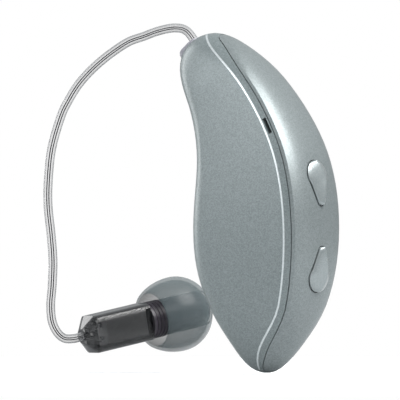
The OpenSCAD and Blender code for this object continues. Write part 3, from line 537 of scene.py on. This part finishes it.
# ---------------------------------------------------------------- microphones, coil and aerial
# Two steel-cased microphones hear through rubber boots and woven steel screens. The telecoil is
# enamelled copper on a ferrite core, and the aerial is copper foil on amber film.
mic_steel = grained("mic_steel", (0.40, 0.40, 0.41), (0.58, 0.58, 0.59), 3800, (0.25, 0.42),
                    bump=0.12, metal=1)
dressed("front_microphone", mic_steel)
dressed("rear_microphone", mic_steel)
dressed("front_mic_boot", black_rubber)
dressed("rear_mic_boot", black_rubber)
woven_steel = grained("woven_steel", (0.03, 0.03, 0.032), (0.40, 0.40, 0.41), 9000, (0.3, 0.5),
                      bump=0.6, metal=0.9, kind="CELLS")
dressed("mic_screens", woven_steel)
coil_copper = grained("coil_copper", (0.28, 0.09, 0.035), (0.62, 0.27, 0.13), 5200, (0.25, 0.4),
                      bump=0.5, metal=0.9, kind="BANDS")
dressed("telecoil", coil_copper)
aerial_copper = grained("aerial_copper", (0.42, 0.17, 0.08), (0.66, 0.32, 0.17), 1600,
                        (0.28, 0.45), bump=0.12, metal=0.9)
dressed("antenna", aerial_copper)


# ---------------------------------------------------------------- switches
# A dome switch under each button: a black moulded base with a spring steel plunger plate, which
# clicks when the button has gone in by 0.3 mm.
switch_black = grained("switch_base", (0.02, 0.02, 0.022), (0.05, 0.05, 0.053), 3000, (0.3, 0.5),
                       bump=0.2)
dressed("upper_switch", switch_black)
dressed("lower_switch", switch_black)


# ---------------------------------------------------------------- lead plug, its cap and its socket
# The lead ends in a round black plug with three gold leaves, which clips into a socket in the neck
# of the case. A small cap of lilac-grey plastic closes the neck round the lead.
dark_socket = grained("dark_socket", (0.025, 0.026, 0.028), (0.05, 0.051, 0.054), 2600,
                      (0.4, 0.55), bump=0.2)
dressed("lead_socket", dark_socket)
dressed("lead_plug", dark_socket)
dressed("socket_contacts", gold)
dressed("plug_contacts", gold)
lilac_grey = grained("lilac_grey", (0.22, 0.22, 0.25), (0.29, 0.29, 0.33), 2200, (0.32, 0.46),
                     bump=0.12)
cap = smooth_copy("neck_cap", "plug_cap", "lead", sharp=30)
cap.data.materials.append(lilac_grey)


# ---------------------------------------------------------------- receiver
# The loudspeaker: a steel can on two soldered pads, moulded into a smoky see-through housing. The
# spout in front of it is ribbed to hold the dome, and a white filter at its tip keeps wax out.
smoke = grained("smoky_housing", (0.010, 0.011, 0.012), (0.022, 0.023, 0.025), 1500, (0.14, 0.26),
                bump=0.05)
thin_skin(smoke, facing=0.44, grazing=0.95, span=(0.18, 0.42))
smoke.node_tree.nodes["Principled BSDF"].inputs["Coat Weight"].default_value = 0.25
housing = smooth_copy("receiver_shell", "receiver_housing", "lead", sharp=24)
housing.data.materials.append(smoke)
# The can is given a near-white colour and little metal: painted light, so that it shows bright
# through the smoky housing, which lets little light in to it.
can_painted_bright = grained("can_painted_bright", (0.60, 0.60, 0.605), (0.95, 0.95, 0.955), 9000, (0.4, 0.6),
                    bump=0.2, metal=0.2)
dressed("receiver_can", can_painted_bright)
solder = grained("solder_pad", (0.45, 0.45, 0.46), (0.68, 0.68, 0.69), 2600, (0.2, 0.35),
                 bump=0.2, metal=1)
dressed("receiver_pads", solder)
spout_black = grained("spout_black", (0.022, 0.020, 0.025), (0.050, 0.045, 0.055), 3200,
                      (0.3, 0.45), bump=0.15)
spout = smooth_copy("ribbed_spout", "receiver_spout", "lead", sharp=30)
spout.data.materials.append(spout_black)
filter_white = grained("filter_white", (0.62, 0.62, 0.60), (0.76, 0.76, 0.74), 2400, (0.4, 0.55),
                       bump=0.15)
dressed("wax_filter", filter_white)


# ---------------------------------------------------------------- dome
# One soft moulding of tinted translucent silicone: a sleeve, tinted darker, that grips the spout,
# and an open skirt that folds back over it. Its skin is satin, with fine pale specks.
silicone = bpy.data.materials.new("dome_silicone")
silicone.use_nodes = True
sn, sl = silicone.node_tree.nodes, silicone.node_tree.links
shade = sn["Principled BSDF"]
thin_skin(silicone, facing=0.42, grazing=0.72, span=(0.3, 1))
shade.inputs["Specular IOR Level"].default_value = 0.25
where = sn.new("ShaderNodeTexCoord")
cloud = sn.new("ShaderNodeTexNoise")
cloud.inputs["Scale"].default_value = 650
cloud.inputs["Detail"].default_value = 3
tint = sn.new("ShaderNodeValToRGB")
tint.color_ramp.elements[0].color = (0.092, 0.122, 0.129, 1)
tint.color_ramp.elements[1].color = (0.130, 0.162, 0.169, 1)
gloss = sn.new("ShaderNodeMapRange")
gloss.inputs["To Min"].default_value = 0.20
gloss.inputs["To Max"].default_value = 0.28
sl.new(where.outputs["Object"], cloud.inputs["Vector"])
sl.new(cloud.outputs["Fac"], tint.inputs["Fac"])
sl.new(cloud.outputs["Fac"], gloss.inputs["Value"])
specks = sn.new("ShaderNodeTexVoronoi")
specks.inputs["Scale"].default_value = 2600
speck_size = sn.new("ShaderNodeMapRange")
speck_size.inputs["From Min"].default_value = 0.17
speck_size.inputs["From Max"].default_value = 0.09
speckled = sn.new("ShaderNodeMix")
speckled.data_type = "RGBA"
speckled.inputs["B"].default_value = (0.34, 0.37, 0.38, 1)
sl.new(where.outputs["Object"], specks.inputs["Vector"])
sl.new(specks.outputs["Distance"], speck_size.inputs["Value"])
sl.new(speck_size.outputs["Result"], speckled.inputs["Factor"])
sl.new(tint.outputs["Color"], speckled.inputs["A"])
sl.new(speckled.outputs["Result"], shade.inputs["Base Color"])
sl.new(gloss.outputs["Result"], shade.inputs["Roughness"])
DOME_R, DOME_L, DOME_WALL, SLEEVE, RIM_SHARE = 0.0038, 0.0066, 0.00035, 0.0003, 0.78
DOME_FRONT, SPOUT_R, HOLE_R, SPOUT_L = DOME_L * 0.54, 0.00154, 0.00095, 0.0071
# From the lead's end to the dome's tip, the drop of the sleeve's root, and the steps of the curves
TIP_REACH, ROOT_DROP, OUTER_STEPS, INNER_STEPS, AROUND = 0.015435, 0.0002, 40, 30, 96
DOME_WELD, DOME_SHARP, JUST_OVER = 1e-7, radians(35), 1.01
lead_in = Vector((0.282216, 0.940721, 0.188144)).normalized()
dome_seat = places[last] + lead_in * (TIP_REACH - DOME_FRONT)
rim, lip, hole = -acos(RIM_SHARE), radians(70), acos(HOLE_R / DOME_R)
deep = (DOME_L - DOME_FRONT) / abs(sin(rim))
inner_r, inner_front, sleeve_r = DOME_R - DOME_WALL, DOME_FRONT - DOME_WALL, SPOUT_R + SLEEVE
sleeve_top = DOME_FRONT - DOME_WALL / 2 - SLEEVE


def skirt_point(r, front, turn):
    """A point of the skirt's outline: two ellipses that meet where it is widest."""
    return Vector((r * cos(turn), 0, (front if turn > 0 else deep) * sin(turn)))


profile = [skirt_point(DOME_R, DOME_FRONT, rim + (hole - rim) * i / OUTER_STEPS)
           for i in range(OUTER_STEPS + 1)]
profile += [Vector((HOLE_R, 0, sleeve_top)), Vector((SPOUT_R, 0, sleeve_top)),
            Vector((SPOUT_R, 0, sleeve_top - SPOUT_L)), Vector((sleeve_r, 0, sleeve_top - SPOUT_L)),
            Vector((sleeve_r, 0, inner_front * sin(lip) - ROOT_DROP))]
profile += [skirt_point(inner_r, inner_front, lip + (rim - lip) * i / INNER_STEPS)
            for i in range(2, INNER_STEPS + 1)]
spun = bmesh.new()
ring = [spun.verts.new(p) for p in profile]
ring_edges = [spun.edges.new((a, b)) for a, b in zip(ring, ring[1:] + ring[:1])]
bmesh.ops.spin(spun, geom=ring + ring_edges, cent=(0, 0, 0), axis=(0, 0, 1), angle=2 * pi,
               steps=AROUND, use_merge=True)
bmesh.ops.remove_doubles(spun, verts=spun.verts, dist=DOME_WELD)
bmesh.ops.recalc_face_normals(spun, faces=spun.faces)
for face in spun.faces:
    middle = face.calc_center_median()
    on_sleeve = middle.xy.length < SPOUT_R + SLEEVE * JUST_OVER and middle.z < inner_front
    face.material_index = int(on_sleeve)
    face.smooth = True
turned = lead_in.to_track_quat("Z", "Y").to_matrix().to_4x4()
bmesh.ops.transform(spun, matrix=Matrix.Translation(dome_seat) @ turned, verts=spun.verts)
for edge in spun.edges:
    edge.smooth = len(edge.link_faces) == 2 and edge.calc_face_angle(pi) < DOME_SHARP
dome_mesh = bpy.data.meshes.new("ear_dome")
spun.to_mesh(dome_mesh)
spun.free()
dome = bpy.data.objects.new("ear_dome", dome_mesh)
scene.collection.objects.link(dome)
sleeve_silicone = grained("sleeve_silicone", (0.030, 0.022, 0.036), (0.052, 0.042, 0.060), 1400,
                          (0.3, 0.45), bump=0.1)
dome.data.materials.append(silicone)
dome.data.materials.append(sleeve_silicone)
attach(dome, "dome")
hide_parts("dome")
